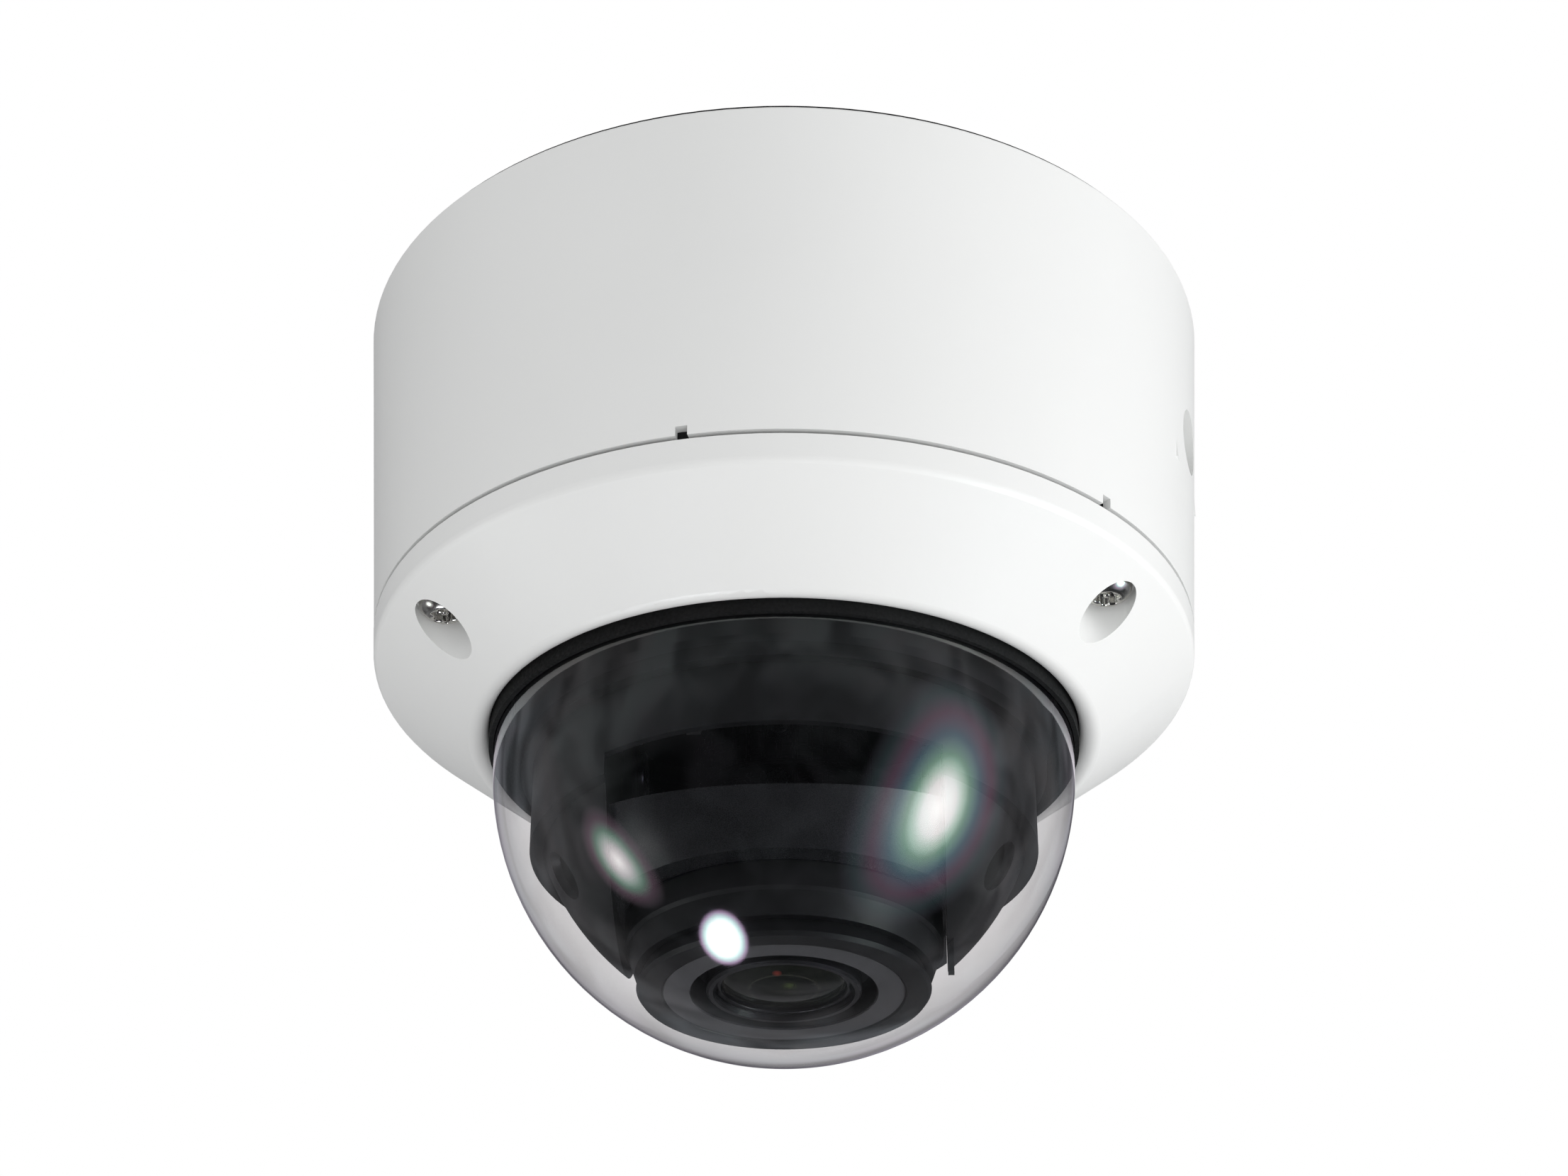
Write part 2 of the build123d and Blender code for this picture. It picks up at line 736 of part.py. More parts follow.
def liner():
    """Black liner in the bubble, slotted for the lens, with a flat wall along each side of the slot."""
    with BuildPart() as cores:
        add(liner_form(LINER_WALL, LINER_TOP_Z + 3).part)
        with Locations((0, 0, DOME_Z)):
            Box(2 * (SLOT_HALF + LINER_WALL), 200, 200, mode=Mode.SUBTRACT)
    with BuildPart() as hoop_hollow:
        add(liner_form(LINER_WALL, LINER_TOP_Z + 3).part)
        with Locations((0, 0, DOME_Z)):
            Box(2 * SLOT_HALF, 200, 200, mode=Mode.INTERSECT)
    with BuildPart() as piece:
        add(liner_form(0.0, LINER_TOP_Z).part)
        add(cores.part, mode=Mode.SUBTRACT)
        # The slot is open to the top at +Y, and below the hoop at -Y
        with Locations((0, 0, DOME_Z)):
            Box(2 * SLOT_HALF, 100, 200, align=(Align.CENTER, Align.MIN, Align.CENTER), mode=Mode.SUBTRACT)
        with Locations((0, 0, HOOP_Z)):
            Box(2 * SLOT_HALF, 200, 100, align=HIGH, mode=Mode.SUBTRACT)
        add(hoop_hollow.part, mode=Mode.SUBTRACT)
        for side in (-1, 1):
            # Clearance around the pivot
            with BuildSketch(Plane.YZ.offset(side * (SLOT_HALF - 1))):
                with Locations((0, DOME_Z)):
                    Circle(4.4)
            extrude(amount=side * 4, mode=Mode.SUBTRACT)
            # Access hole to the tilt lock screw
            with BuildSketch(Plane.YZ.offset(side * 30)):
                with Locations((LOCK_HOLE_Y, LOCK_HOLE_Z)):
                    Circle(3.9)
            extrude(amount=side * 15, mode=Mode.SUBTRACT)
        # Pointed tab at the foot of the slot's right-hand wall
        with BuildSketch(Plane.YZ.offset(SLOT_HALF)):
            with BuildLine():
                Polyline((-5, -115.2), (5, -115.2), (0.9, -120.2), (-0.9, -120.2), close=True)
            make_face()
        extrude(amount=1.0)
    return piece


def tilt_lock_screws():
    planes = []
    for side in (-1, 1):
        seat_x = side * (ARM_INNER_X + ARM_THICKNESS)
        planes.append(Plane((seat_x, LOCK_HOLE_Y, LOCK_HOLE_Z), x_dir=(0, 1, 0), z_dir=(side, 0, 0)))
    return screw_set(planes, 2.8, 1.4, 1.5, 2.3, 1.1)


# ---------------------------------------------------------------- tilting drum
def tilt_frame():
    with BuildPart() as piece:
        for side in (-1, 1):
            with BuildSketch(Plane.YZ.offset(side * FRAME_X)):
                with BuildLine():
                    Polyline(
                        (-9, -76),
                        (9, -76),
                        (11, -96),
                        (11, -108.8),
                        (-11, -108.8),
                        (-11, -96),
                        close=True,
                    )
                make_face()
                with Locations((0, DOME_Z)):
                    Circle(PIVOT_R, mode=Mode.SUBTRACT)
            extrude(amount=side * 2.0)
        with BuildSketch(Plane.XY.offset(FRAME_FOOT_Z)):
            Circle(25.7)
            Circle(ROLL_R + RUNNING_GAP, mode=Mode.SUBTRACT)
        extrude(amount=7.4)
    return piece


def tilt_pivots():
    planes = []
    for side in (-1, 1):
        planes.append(Plane((side * FRAME_X, 0, DOME_Z), x_dir=(0, 1, 0), z_dir=(-side, 0, 0)))
    return screw_set(planes, 4.5, 1.2, PIVOT_R, 7.0, 1.5)


def tilt_drum():
    inner_r = DRUM_R - DRUM_WALL
    lip_sag_r = 183.0
    with BuildPart() as piece:
        with BuildSketch(Plane.XZ):
            with BuildLine():
                outer_top = point_on_sphere(DRUM_R, -100)
                outer_foot = point_on_sphere(DRUM_R, -111.8)
                inner_foot = point_on_sphere(inner_r, -109.2)
                inner_top = point_on_sphere(inner_r, -100)
                RadiusArc(outer_top, outer_foot, DRUM_R)
                Polyline(
                    outer_foot,
                    (26.6, -111.8),
                    (26.6, FRAME_FOOT_Z),
                    (25.75, FRAME_FOOT_Z),
                    (25.75, -109.2),
                    inner_foot,
                )
                RadiusArc(inner_foot, inner_top, -inner_r)
                Line(inner_top, outer_top)
            make_face()
        revolve(axis=Axis.Z)
        # The lip sags towards the middle
        with BuildSketch(Plane.XZ):
            with Locations((0, DRUM_LIP_Z + lip_sag_r)):
                Circle(lip_sag_r)
        extrude(amount=60, both=True, mode=Mode.SUBTRACT)
        # Sides trimmed to pass between the slot's walls
        with Locations((0, 0, DOME_Z)):
            Box(2 * DRUM_HALF, 120, 80, mode=Mode.INTERSECT)
    return piece


# ---------------------------------------------------------------- rolling lens housing
def lens_housing():
    return turned([
        (20.8, -103.0),
        (ROLL_R, -103.0),
        (ROLL_R, -111.2),
        (COLLAR_R - 0.5, -111.2),
        (COLLAR_R, -111.7),
        (COLLAR_R, -115.9),
        (COLLAR_R - 0.5, -116.5),
        (24.2, HOUSING_FOOT_Z),
        (20.8, HOUSING_FOOT_Z),
    ])


def roll_clip():
    with BuildPart() as piece:
        with BuildSketch(Plane.XY.offset(-103.0)):
            Circle(24.2)
            Circle(21.0, mode=Mode.SUBTRACT)
            with Locations((0, -22.5)):
                Rectangle(5, 6, mode=Mode.SUBTRACT)
        extrude(amount=0.8)
    return piece


def front_cap():
    return turned([
        (21.5, HOUSING_FOOT_Z),
        (CAP_R - 1.1, HOUSING_FOOT_Z),
        (CAP_R - 0.9, HOUSING_FOOT_Z - 0.4),
        (CAP_R, CAP_FRONT_Z + 0.7),
        (CAP_R - 0.5, CAP_FRONT_Z),
        (19.9, CAP_FRONT_Z),
        (19.7, CAP_SEAT_Z),
        (CAP_MOUTH_R, CAP_SEAT_Z),
        (14.4, CAP_FRONT_Z + 4.8),
        (13.1, CAP_FRONT_Z + 5.8),
        (13.1, CAP_FRONT_Z + 6.8),
        (15.4, CAP_FRONT_Z + 6.4),
        (16.2, HOUSING_FOOT_Z - 0.7),
        (21.5, HOUSING_FOOT_Z - 0.7),
    ])


def shade_ring():
    return tube(CAP_MOUTH_R + 0.2, 19.5, CAP_SEAT_Z - 0.3, CAP_SEAT_Z)


def lens_bracket():
    with BuildPart() as piece:
        with BuildSketch(Plane.XY.offset(BRACKET_Z)):
            Circle(20.7)
            Circle(BARREL_R + 0.05, mode=Mode.SUBTRACT)
            with PolarLocations(16.4, 4, start_angle=0):
                Circle(2.4, mode=Mode.SUBTRACT)
        extrude(amount=2.4)
        with BuildSketch(Plane.XY.offset(BRACKET_Z)):
            with Locations(*POST_POINTS):
                Circle(2.0)
        extrude(amount=42.6)
        with BuildSketch(Plane.XY.offset(-62.0)):
            with Locations(*POST_POINTS):
                Circle(0.9)
        extrude(amount=-6, mode=Mode.SUBTRACT)
    return piece


def lens_front_barrel():
    return turned([
        (9.0, -98.0),
        (FLANGE_R, -98.0),
        (FLANGE_R, -99.8),
        (BARREL_R, -99.8),
        (BARREL_R, BARREL_FRONT_Z + 5.3),
        (BARREL_HEAD_R, BARREL_FRONT_Z + 4.7),
        (BARREL_HEAD_R, BARREL_FRONT_Z + 0.4),
        (BARREL_HEAD_R - 0.4, BARREL_FRONT_Z),
        (11.5, BARREL_FRONT_Z),
        (11.2, BARREL_FRONT_Z + 1.2),
        (GLASS_R, BARREL_FRONT_Z + 1.5),
        (GLASS_R, BARREL_FRONT_Z + 5.0),
        (9.0, BARREL_FRONT_Z + 5.0),
    ])


def lens_rear_barrel():
    return turned([
        (7.0, -98.0),
        (RING_BORE_R, -98.0),
        (RING_BORE_R, -89.9),
        (FLANGE_R, -89.9),
        (FLANGE_R, -88.1),
        (RING_BORE_R, -88.1),
        (RING_BORE_R, -80.0),
        (FLANGE_R, -80.0),
        (FLANGE_R, -77.0),
        (9.0, -76.0),
        (9.0, -67.0),
        (7.0, -67.0),
    ])


def lens_element(rim_r, rim_z, flat_z, sag):
    """Lens with one flat face and one spherical face that bulges away from it."""
    way = 1 if rim_z > flat_z else -1
    curve_r = (rim_r**2 + sag**2) / (2 * sag)
    half_chord = rim_r / 2
    half_rise = sag - curve_r + sqrt(curve_r**2 - half_chord**2)
    with BuildPart() as piece:
        with BuildSketch(Plane.XZ):
            with BuildLine():
                Polyline((0, rim_z + way * sag), (0, flat_z), (rim_r, flat_z), (rim_r, rim_z))
                ThreePointArc((rim_r, rim_z), (half_chord, rim_z + way * half_rise), (0, rim_z + way * sag))
            make_face()
        revolve(axis=Axis.Z)
    return piece


def grip_ring(heights, flutes=36):
    """Knurled ring that turns on the lens barrel."""
    low_z, high_z = heights
    with BuildPart() as piece:
        with BuildSketch(Plane.XY.offset(low_z)):
            Circle(RING_R)
            Circle(RING_BORE_R + 0.05, mode=Mode.SUBTRACT)
            with PolarLocations(RING_R, flutes):
                Circle(0.45, mode=Mode.SUBTRACT)
        extrude(amount=high_z - low_z)
        with BuildSketch(radial_plane(-90, RING_BORE_R, (low_z + high_z) / 2)):
            Circle(0.95)
        extrude(amount=5, mode=Mode.SUBTRACT)
    return piece


def lever(heights):
    """Locking lever screwed into a grip ring, pointing towards -Y."""
    with BuildPart() as piece:
        middle_z = sum(heights) / 2
        with BuildSketch(radial_plane(-90, RING_BORE_R + 0.4, middle_z)):
            Circle(0.95)
        extrude(amount=LEVER_TIP_R - RING_BORE_R - 0.4)
        with BuildSketch(radial_plane(-90, LEVER_TIP_R - 3.4, middle_z)):
            Circle(1.9)
        extrude(amount=3.4)
        fillet(piece.faces().sort_by(Axis.Y)[0].edges(), 0.4)
    return piece


def lens_mount():
    with BuildPart() as piece:
        with Locations((0, 0, -76)):
            Box(23, 23, 14, align=LOW)
        with BuildSketch(Plane.XY.offset(-76)):
            Circle(9.0)
        extrude(amount=9.0, mode=Mode.SUBTRACT)
        with BuildSketch(Plane.XY.offset(-67)):
            Rectangle(12, 12)
        extrude(amount=5.0, mode=Mode.SUBTRACT)
    return piece


def ir_filter():
    with BuildPart() as piece:
        with Locations((0, 0, -66.4)):
            Box(12, 12, 0.6)
    return piece


def filter_motor():
    with BuildPart() as piece:
        with Locations((-11.5, 0, -69)):
            Box(5.5, 10, 8, align=(Align.MAX, Align.CENTER, Align.CENTER))
    return piece


def sensor_board():
    with BuildPart() as piece:
        with BuildSketch(Plane.XY.offset(-62)):
            with Locations((0, 2)):
                RectangleRounded(34, 34, 2)
            with Locations(*POST_POINTS):
                Circle(1.1, mode=Mode.SUBTRACT)
        extrude(amount=1.6)
    return piece


def sensor_screws():
    planes = [Plane((x, y, -60.4)) for x, y in POST_POINTS]
    return screw_set(planes, 1.9, 1.2, 0.9, 6.5, 0.8)


def image_sensor():
    with BuildPart() as piece:
        with Locations((0, 0, -62)):
            Box(9.6, 8.4, 1.6, align=HIGH)
    return piece


def sensor_connector():
    with BuildPart() as piece:
        with Locations((0, -8, -60.4)):
            Box(13, 4, 2.2, align=LOW)
        with Locations((0, -10, -59.6)):
            Box(10.5, 3, 0.5, align=(Align.CENTER, Align.MIN, Align.MIN), mode=Mode.SUBTRACT)
    return piece


# ---------------------------------------------------------------- the assembly
save(mount_plate(), "mount_plate")
save(tube(71.0, 73.2, RIM_Z, 0.0), "ceiling_seal")
save(base_housing(), "base_housing")
save(lock_screw(), "lock_screw")
save(cable_grommet(), "cable_grommet")

save(top_cover(cover_cavity()), "top_cover")
save(tube(65.5, 68.5, COVER_TOP_Z, PARTING_Z + 1.5), "cover_seal")
save(cover_screws(), "cover_screws")
save(dome_bubble(), "dome_bubble")
save(dome_gasket(), "dome_gasket")
save(dome_ring(), "dome_ring")
save(dome_ring_screws(), "dome_ring_screws")
save(upper_liner(), "upper_liner")

save(main_board(), "main_board")
save(board_standoffs(), "board_standoffs")
save(board_screws(), "board_screws")
save(ethernet_jack(), "ethernet_jack")
save(power_terminal(), "power_terminal")
save(processor(), "processor")
save(thermal_pad(), "thermal_pad")
save(heat_sink(), "heat_sink")
save(card_slot(), "card_slot")
save(capacitors(), "capacitors")
save(flex_connector(), "flex_connector")
save(reset_switch(), "reset_switch")
save(reset_button(), "reset_button")

save(pan_base(), "pan_base")
save(pan_base_screws(), "pan_base_screws")
save(pan_retainer(), "pan_retainer")
save(pan_retainer_screws(), "pan_retainer_screws")
save(pan_ring(), "pan_ring")
save(yoke_screws(), "yoke_screws")
save(tilt_lock_screws(), "tilt_lock_screws")

save(yoke_arm(-1), "yoke_arm_left")
save(yoke_arm(1), "yoke_arm_right")
save(liner(), "liner")

save(tilt_frame(), "tilt_frame")
save(tilt_pivots(), "tilt_pivots")
save(tilt_drum(), "tilt_drum")

save(lens_housing(), "lens_housing")
save(roll_clip(), "roll_clip")
save(front_cap(), "front_cap")
save(shade_ring(), "shade_ring")
save(lens_bracket(), "lens_bracket")
save(lens_front_barrel(), "lens_front_barrel")
save(lens_rear_barrel(), "lens_rear_barrel")
save(lens_element(GLASS_R, BARREL_FRONT_Z + 2.0, BARREL_FRONT_Z + 5.0, 1.7), "front_lens")
save(lens_element(7.0, -70.0, -74.0, 1.8), "rear_lens")
save(grip_ring(FOCUS_Z), "focus_ring")
save(lever(FOCUS_Z), "focus_lever")
save(grip_ring(ZOOM_Z), "zoom_ring")
save(lever(ZOOM_Z), "zoom_lever")
save(lens_mount(), "lens_mount")
save(ir_filter(), "ir_filter")
save(filter_motor(), "filter_motor")
save(sensor_board(), "sensor_board")
save(sensor_screws(), "sensor_screws")
save(image_sensor(), "image_sensor")
save(sensor_connector(), "sensor_connector")
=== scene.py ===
"""Looks for the dome CCTV camera: materials, fine mesh pieces, studio and camera.

Metres, in the CAD frame: the mounting face is z = 0, the camera hangs towards -Z.
Bearings are polar angles in degrees, counted from +X towards +Y.
"""
import json
from math import acos, cos, pi, radians, sin

import bmesh
import bpy
from mathutils import Matrix, Vector


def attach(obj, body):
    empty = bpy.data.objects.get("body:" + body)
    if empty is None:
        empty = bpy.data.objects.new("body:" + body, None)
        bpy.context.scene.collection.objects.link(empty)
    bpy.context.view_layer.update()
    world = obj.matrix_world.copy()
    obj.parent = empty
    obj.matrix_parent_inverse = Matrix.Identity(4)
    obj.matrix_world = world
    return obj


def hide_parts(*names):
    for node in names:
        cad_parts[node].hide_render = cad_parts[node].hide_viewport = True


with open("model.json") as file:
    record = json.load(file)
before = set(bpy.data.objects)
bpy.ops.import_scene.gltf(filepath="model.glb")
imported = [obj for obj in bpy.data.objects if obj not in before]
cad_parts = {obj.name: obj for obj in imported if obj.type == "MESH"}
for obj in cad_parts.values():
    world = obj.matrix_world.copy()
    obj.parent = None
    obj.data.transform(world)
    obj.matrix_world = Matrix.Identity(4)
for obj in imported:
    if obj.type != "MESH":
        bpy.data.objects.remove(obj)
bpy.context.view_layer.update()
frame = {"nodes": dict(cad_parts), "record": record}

NODES = frame["nodes"]
MM = 0.001
BUBBLE_CENTRE = (0.0, 0.0, -0.0838)
BUBBLE_SKIN = (0.0474, 0.0480)
GLASS_R = 0.0106
WHITE = (1.0, 1.0, 1.0)

# ---------------------------------------------------------------- node helpers


class Mat:
    """A node material built around one Principled shader."""

    def __init__(self, name, color=(0.8, 0.8, 0.8), rough=0.5, metal=0.0, **values):
        self.mat = bpy.data.materials.new(name)
        self.mat.use_nodes = True
        self.tree = self.mat.node_tree
        self.tree.nodes.clear()
        self.out = self.add("ShaderNodeOutputMaterial")
        self.bsdf = self.add("ShaderNodeBsdfPrincipled")
        self.link(self.bsdf.outputs[0], self.out.inputs["Surface"])
        self.set("Base Color", (*color, 1.0))
        self.set("Roughness", rough)
        self.set("Metallic", metal)
        for key, value in values.items():
            self.set(key.replace("_", " ").title().replace("Ior", "IOR"), value)
        self.coords = self.add("ShaderNodeTexCoord").outputs["Object"]

    def add(self, kind, **props):
        node = self.tree.nodes.new(kind)
        for key, value in props.items():
            setattr(node, key, value)
        return node

    def link(self, a, b):
        self.tree.links.new(a, b)

    def set(self, socket, value):
        self.bsdf.inputs[socket].default_value = value

    def noise(self, scale, detail=4.0, rough=0.55, distort=0.0, coords=None):
        node = self.add("ShaderNodeTexNoise")
        self.link(coords or self.coords, node.inputs["Vector"])
        node.inputs["Scale"].default_value = scale
        node.inputs["Detail"].default_value = detail
        node.inputs["Roughness"].default_value = rough
        node.inputs["Distortion"].default_value = distort
        return node.outputs["Fac"]

    def voronoi(self, scale, feature="F1", coords=None):
        node = self.add("ShaderNodeTexVoronoi", feature=feature)
        self.link(coords or self.coords, node.inputs["Vector"])
        node.inputs["Scale"].default_value = scale
        return node.outputs["Distance"]

    def ramp(self, fac, *stops):
        """Colour ramp; each stop is (position, colour or grey)."""
        node = self.add("ShaderNodeValToRGB")
        self.link(fac, node.inputs["Fac"])
        elements = node.color_ramp.elements
        while len(elements) < len(stops):
            elements.new(0.5)
        for element, (place, colour) in zip(elements, stops):
            element.position = place
            if isinstance(colour, (int, float)):
                colour = (colour, colour, colour)
            element.color = (*colour, 1.0)
        return node.outputs["Color"]

    def span(self, value, from_low, from_high, low, high):
        node = self.add("ShaderNodeMapRange")
        self.link(value, node.inputs["Value"])
        ends = (("From Min", from_low), ("From Max", from_high), ("To Min", low), ("To Max", high))
        for key, number in ends:
            node.inputs[key].default_value = number
        return node.outputs["Result"]

    def math(self, operation, a, b):
        node = self.add("ShaderNodeMath", operation=operation)
        for socket, value in zip(node.inputs, (a, b)):
            if isinstance(value, (int, float)):
                socket.default_value = value
            else:
                self.link(value, socket)
        return node.outputs[0]

    def mix(self, fac, a, b, blend="MIX"):
        node = self.add("ShaderNodeMix", data_type="RGBA", blend_type=blend)
        sockets = {s.identifier: s for s in node.inputs}
        wanted = (("Factor_Float", fac), ("A_Color", a), ("B_Color", b))
        for key, value in wanted:
            if isinstance(value, (int, float)):
                sockets[key].default_value = value
            elif isinstance(value, tuple):
                sockets[key].default_value = (*value, 1.0)
            else:
                self.link(value, sockets[key])
        return [s for s in node.outputs if s.identifier == "Result_Color"][0]

    def distance(self, centre):
        """Distance of the shaded point from a fixed point of the object."""
        node = self.add("ShaderNodeVectorMath", operation="DISTANCE")
        self.link(self.coords, node.inputs[0])
        node.inputs[1].default_value = centre
        return node.outputs["Value"]

    def off_axis(self, x=0.0, y=0.0):
        """Distance of the shaded point from a vertical line."""
        node = self.add("ShaderNodeVectorMath", operation="DISTANCE")
        self.link(self.stretched(1.0, 1.0, 0.0), node.inputs[0])
        node.inputs[1].default_value = (x, y, 0.0)
        return node.outputs["Value"]

    def stretched(self, sx, sy, sz):
        node = self.add("ShaderNodeMapping")
        self.link(self.coords, node.inputs["Vector"])
        node.inputs["Scale"].default_value = (sx, sy, sz)
        return node.outputs["Vector"]

    def bump(self, *layers):
        """Each layer is (height socket, strength, distance in metres)."""
        normal = None
        for fac, strength, distance in layers:
            node = self.add("ShaderNodeBump")
            self.link(fac, node.inputs["Height"])
            node.inputs["Strength"].default_value = strength
            node.inputs["Distance"].default_value = distance
            if normal is not None:
                self.link(normal, node.inputs["Normal"])
            normal = node.outputs["Normal"]
        self.link(normal, self.bsdf.inputs["Normal"])
        return self

    def color(self, socket):
        self.link(socket, self.bsdf.inputs["Base Color"])
        return self

    def rough(self, socket):
        self.link(socket, self.bsdf.inputs["Roughness"])
        return self


# ---------------------------------------------------------------- materials


def white_paint():
    """Fine-textured powder coat, faintly cool, with a cloudy tone and small darker specks."""
    m = Mat("powder_coat_white")
    grain = m.noise(4200.0, 3.0, 0.5)
    peel = m.noise(900.0, 2.0, 0.45)
    cloud = m.noise(14.0, 3.0, 0.5)
    tone = m.ramp(cloud, (0.3, (0.780, 0.786, 0.780)), (0.7, (0.802, 0.808, 0.802)))
    speck = m.ramp(m.voronoi(420.0), (0.0, 0.90), (0.03, 1.0))
    m.color(m.mix(0.2, tone, speck, "MULTIPLY"))
    relief = m.math("ADD", m.math("MULTIPLY", grain, 0.6), m.math("MULTIPLY", peel, 0.4))
    m.rough(m.span(relief, 0.3, 0.7, 0.30, 0.44))
    m.bump((peel, 0.22, 0.00005), (grain, 0.16, 0.00002))
    return m.mat


def steel(name, tone, rough, brushed):
    """Metal with fine marks stretched along one way and blotches of a slightly darker tone."""
    m = Mat(name, metal=1.0)
    fine = m.noise(900.0, 4.0, 0.6, coords=m.stretched(*brushed))
    blot = m.noise(60.0, 3.0)
    base = m.ramp(blot, (0.3, tuple(c * 0.88 for c in tone)), (0.75, tone))
    m.color(base)
    m.rough(m.span(fine, 0.3, 0.7, rough * 0.7, rough * 1.35))
    m.bump((fine, 0.2, 0.00002))
    return m.mat


def black_rubber():
    """Matt seal rubber."""
    m = Mat("rubber_black")
    grain = m.noise(1800.0, 3.0)
    m.color(m.ramp(m.noise(90.0), (0.3, (0.005, 0.005, 0.0055)), (0.8, (0.010, 0.010, 0.0105))))
    m.rough(m.span(grain, 0.3, 0.7, 0.60, 0.85))
    m.set("Specular IOR Level", 0.25)
    m.bump((grain, 0.2, 0.00002))
    return m.mat


def black_plastic(name="moulded_black", rough=0.40, tone=0.0072, grain_size=7000.0, depth=0.000004):
    """Spark-eroded moulded plastic with a faint blue cast and thin scuffs."""
    m = Mat(name)
    grain = m.noise(grain_size, 2.0, 0.6)
    drift = m.noise(35.0, 3.0)
    scuff = m.noise(500.0, 5.0, 0.7, 0.6, coords=m.stretched(1.0, 0.12, 1.0))
    dark = (tone * 0.82, tone * 0.88, tone)
    light = (tone * 1.1, tone * 1.18, tone * 1.4)
    base = m.ramp(drift, (0.3, dark), (0.75, light))
    worn = m.ramp(scuff, (0.72, 0.0), (0.82, 1.0))
    m.color(m.mix(m.math("MULTIPLY", worn, 0.07), base, (0.09, 0.09, 0.10)))
    m.rough(m.span(grain, 0.3, 0.7, rough * 0.85, rough * 1.18))
    m.set("Specular IOR Level", 0.28)
    m.bump((grain, 0.16, depth))
    return m.mat


def gloss_black():
    """The drum behind the slot: the same plastic, smoother."""
    return black_plastic("drum_black", rough=0.27, tone=0.0105, grain_size=9000.0, depth=0.000002)


def anodised_black():
    """Turned, black-anodised lens barrel: fine circular tool marks."""
    m = Mat("anodised_black", metal=0.45)
    marks = m.noise(1.0, 2.0, 0.6, coords=m.stretched(60.0, 60.0, 9000.0))
    m.color(m.ramp(m.noise(120.0), (0.3, (0.010, 0.010, 0.012)), (0.8, (0.022, 0.022, 0.026))))
    m.rough(m.span(marks, 0.3, 0.7, 0.24, 0.42))
    m.bump((marks, 0.2, 0.00002))
    return m.mat


def clear_bubble():
    """Clear polycarbonate: straight-through tint and gloss by angle on the outer skin only."""
    m = Mat("bubble_clear")
    m.tree.nodes.remove(m.bsdf)
    clear = m.add("ShaderNodeBsdfTransparent")
    edge = m.add("ShaderNodeLayerWeight")
    edge.inputs["Blend"].default_value = 0.30
    outer_skin = m.span(m.distance(BUBBLE_CENTRE), *BUBBLE_SKIN, 0.0, 1.0)
    tint = m.ramp(edge.outputs["Facing"], (0.0, (0.94, 0.935, 0.94)), (0.25, (0.88, 0.87, 0.875)),
                  (0.55, (0.785, 0.775, 0.78)), (0.85, (0.69, 0.68, 0.685)),
                  (1.0, (0.55, 0.54, 0.55)))
    m.link(m.mix(outer_skin, (0.995, 0.995, 0.995), tint), clear.inputs["Color"])
    wisps = m.noise(55.0, 4.0, 0.6, 0.8)
    gloss = m.add("ShaderNodeBsdfAnisotropic")
    by_angle = m.math("MULTIPLY", edge.outputs["Facing"], 0.75)
    band = m.math("ADD", m.math("MULTIPLY", wisps, 0.55), by_angle)
    fringe = m.ramp(band, (0.20, (1.0, 0.94, 0.98)), (0.34, (0.92, 1.0, 0.97)),
                    (0.48, (1.0, 0.95, 0.94)), (0.62, (0.92, 0.97, 1.0)), (0.78, (0.98, 0.92, 1.0)))
    m.link(fringe, gloss.inputs["Color"])
    m.link(m.span(m.noise(900.0, 3.0, 0.6), 0.3, 0.7, 0.04, 0.07), gloss.inputs["Roughness"])
    fresnel = m.add("ShaderNodeFresnel")
    fresnel.inputs["IOR"].default_value = 1.62
    face = m.add("ShaderNodeNewGeometry")
    outward = m.math("SUBTRACT", 1.0, face.outputs["Backfacing"])
    coated = m.math("MINIMUM", m.math("MULTIPLY", fresnel.outputs[0], 1.6), 1.0)
    share = m.math("MULTIPLY", m.math("MULTIPLY", coated, outward), outer_skin)
    body = m.add("ShaderNodeMixShader")
    m.link(share, body.inputs[0])
    m.link(clear.outputs[0], body.inputs[1])
    m.link(gloss.outputs[0], body.inputs[2])
    m.link(body.outputs[0], m.out.inputs["Surface"])
    return m.mat


def lens_glass():
    """Coated front element: dark olive depth, painted reflection rings standing for the lit mounts
    behind, and painted reddish and greenish glints.
    """
    m = Mat("lens_glass")
    across = m.off_axis()
    # Painted reflections: the centre and two rings, near half and nine tenths of the glass radius,
    # are lighter than the dark base.
    depth = m.ramp(m.span(across, 0.0, GLASS_R, 0.0, 1.0),
                   (0.0, (0.009, 0.010, 0.006)), (0.20, (0.006, 0.007, 0.005)),
                   (0.50, (0.004, 0.005, 0.004)), (0.535, (0.024, 0.025, 0.020)),
                   (0.57, (0.006, 0.007, 0.005)), (0.86, (0.008, 0.009, 0.007)),
                   (0.93, (0.030, 0.030, 0.028)), (1.0, (0.004, 0.004, 0.004)))
    # Painted glints: a reddish spot near the top of the glass and a greenish one near the centre,
    # mixed into the base colour.
    painted_red_glint = m.span(m.off_axis(-0.0008, -0.0062), 0.0, 0.0009, 1.0, 0.0)
    painted_green_glint = m.span(m.off_axis(0.0010, -0.0022), 0.0, 0.0015, 1.0, 0.0)
    glass_with_painted_glints = m.mix(m.math("MULTIPLY", painted_red_glint, 0.7), depth, (0.22, 0.035, 0.025))
    glass_with_painted_glints = m.mix(m.math("MULTIPLY", painted_green_glint, 0.6), glass_with_painted_glints, (0.060, 0.085, 0.025))
    m.color(glass_with_painted_glints)
    m.set("IOR", 1.45)
    m.set("Specular IOR Level", 0.2)
    m.rough(m.span(m.noise(300.0), 0.3, 0.7, 0.05, 0.08))
    return m.mat


